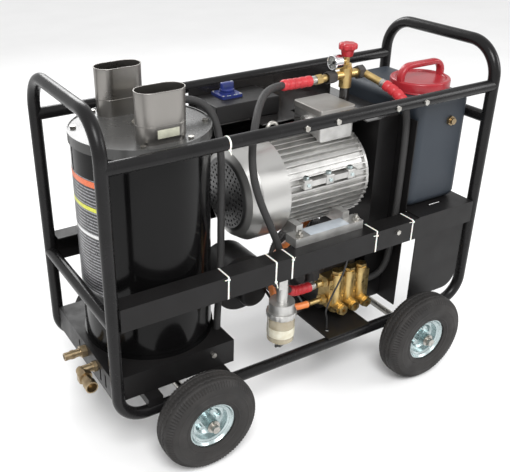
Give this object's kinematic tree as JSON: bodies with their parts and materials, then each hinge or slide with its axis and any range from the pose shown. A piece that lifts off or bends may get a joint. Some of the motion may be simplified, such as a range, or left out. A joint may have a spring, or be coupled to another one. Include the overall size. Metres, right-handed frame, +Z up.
{
  "type": "pressure washer",
  "caption": "Wheeled hot-water pressure washer: tube cage with boiler, electric motor, belt-driven triplex pump, tank, burner, regulator, hoses and rolling wheels.",
  "frame": {"origin": "middle of the whole part's footprint on the ground under the tyres", "axes": "+X from the boiler end to the tank end, +Y from the service side with the pump's valves to the back, +Z up"},
  "size_m": [1.2178, 0.6638, 0.9479],
  "materials": {
    "frame_black": "semi-gloss powder coat",
    "bright_steel": "zinc plated",
    "tyre_rubber": "matte",
    "rim_zinc": "zinc plated",
    "boiler_black": "gloss enamel",
    "lid_grey": "gloss",
    "flue_steel": "satin",
    "burner_grey": "satin",
    "motor_silver": "satin cast",
    "terminal_grey": "satin",
    "fan_plastic": "matte",
    "shaft_steel": "ground",
    "pulley_iron": "machined",
    "belt_rubber": "matte",
    "crankcase_black": "satin paint",
    "brass": "satin",
    "tank_plastic": "semi-matte polyethylene",
    "cap_red": "satin",
    "switch_blue": "satin",
    "gauge_chrome": "polished",
    "needle_black": "matte",
    "filter_cast": "cast",
    "filter_clear": "translucent",
    "drain_black": "matte",
    "hose_black": "matte braid",
    "hose_orange": "satin",
    "grip_red": "satin",
    "tie_white": "matte"
  },
  "bodies": {
    "frame": {"axles": "bright_steel", "base_tray": "frame_black", "belt_guard": "frame_black", "boiler_lid": "lid_grey", "boiler_shell": "boiler_black", "brass_fittings": "brass", "burner_housing": "burner_grey", "burner_motor": "burner_grey", "control_box": "frame_black", "cross_plates": "frame_black", "cross_tubes": "frame_black", "deck": "frame_black", "drive_belt": "belt_rubber", "filter_bowl": "filter_clear", "filter_head": "filter_cast", "flues": "flue_steel", "frame_hoop_left": "frame_black", "frame_hoop_right": "frame_black", "gauge_case": "gauge_chrome", "hex_bolts": "bright_steel", "hose_grips": "grip_red", "lid_fitting": "bright_steel", "lifting_eye": "bright_steel", "mid_channels": "frame_black", "motor_fan_cover": "motor_silver", "motor_frame": "motor_silver", "pressure_hoses": "hose_black", "pump_crankcase": "crankcase_black", "pump_manifold": "brass", "side_panel": "frame_black", "supply_hose": "hose_orange", "switch_base": "switch_blue", "tank": "tank_plastic", "terminal_box": "motor_silver", "terminal_lid": "terminal_grey", "thin_lines": "hose_black", "top_rails": "frame_black", "unloader_body": "brass", "valve_caps": "brass", "zip_ties": "tie_white"},
    "wheel_near_left": {"tyre_near_left": "tyre_rubber", "rim_near_left": "rim_zinc"},
    "wheel_near_right": {"tyre_near_right": "tyre_rubber", "rim_near_right": "rim_zinc"},
    "wheel_far_left": {"tyre_far_left": "tyre_rubber", "rim_far_left": "rim_zinc"},
    "wheel_far_right": {"tyre_far_right": "tyre_rubber", "rim_far_right": "rim_zinc"},
    "motor_rotor": {"motor_shaft": "shaft_steel", "motor_fan": "fan_plastic", "motor_pulley": "pulley_iron"},
    "pump_drive": {"crankshaft": "shaft_steel", "pump_pulley": "pulley_iron"},
    "burner_blower": {"burner_fan": "burner_grey"},
    "filler_cap": {"tank_cap": "cap_red"},
    "main_switch": {"switch_knob": "switch_blue"},
    "pressure_knob": {"unloader_knob": "cap_red"},
    "gauge_pointer": {"gauge_needle": "needle_black"},
    "drain_screw": {"filter_drain": "drain_black"},
    "inlet_coupling": {"inlet_swivel": "brass"}
  },
  "joints": [
    {"name": "wheel_near_left_spin", "type": "hinge", "parent": "frame", "child": "wheel_near_left", "pos_m": [-0.34344, -0.283, 0.1325], "axis": [0, 1, 0], "continuous": true},
    {"name": "wheel_far_left_spin", "type": "hinge", "parent": "frame", "child": "wheel_far_left", "pos_m": [-0.34344, 0.283, 0.1325], "axis": [0, 1, 0], "continuous": true},
    {"name": "wheel_near_right_spin", "type": "hinge", "parent": "frame", "child": "wheel_near_right", "pos_m": [0.37306, -0.283, 0.1325], "axis": [0, 1, 0], "continuous": true},
    {"name": "wheel_far_right_spin", "type": "hinge", "parent": "frame", "child": "wheel_far_right", "pos_m": [0.37306, 0.283, 0.1325], "axis": [0, 1, 0], "continuous": true},
    {"name": "motor_spin", "type": "hinge", "parent": "frame", "child": "motor_rotor", "pos_m": [0.15306, 0, 0.588], "axis": [1, 0, 0], "continuous": true},
    {"name": "pump_spin", "type": "hinge", "parent": "frame", "child": "pump_drive", "pos_m": [0.25306, 0, 0.262], "axis": [1, 0, 0], "continuous": true},
    {"name": "blower_spin", "type": "hinge", "parent": "frame", "child": "burner_blower", "pos_m": [-0.09494, 0, 0.33], "axis": [0, 1, 0], "continuous": true},
    {"name": "cap_lift", "type": "slide", "parent": "frame", "child": "filler_cap", "axis": [0, 0, 1], "range_m": [0, 0.12]},
    {"name": "switch_turn", "type": "hinge", "parent": "frame", "child": "main_switch", "pos_m": [-0.02694, 0.148, 0.816], "axis": [0, 0, -1], "range_deg": [0, 90]},
    {"name": "pressure_knob_turn", "type": "hinge", "parent": "frame", "child": "pressure_knob", "pos_m": [0.26606, 0.01, 0.91], "axis": [0, 0, -1], "range_deg": [0, 540]},
    {"name": "gauge_swing", "type": "hinge", "parent": "frame", "child": "gauge_pointer", "pos_m": [0.22056, 0.01, 0.8885], "axis": [1, 0, 0], "range_deg": [0, 270], "stiffness_Nm_per_rad": 0.001},
    {"name": "drain_turn", "type": "hinge", "parent": "frame", "child": "drain_screw", "pos_m": [-0.06694, -0.2, 0.216], "axis": [0, 0, 1], "range_deg": [0, 360]},
    {"name": "inlet_swivel_turn", "type": "hinge", "parent": "frame", "child": "inlet_coupling", "pos_m": [-0.59094, -0.116, 0.24], "axis": [0, -1, 0], "continuous": true}
  ],
  "couplings": [
    {"joint": "pump_spin", "follows": "motor_spin", "ratio": 0.64539}
  ]
}
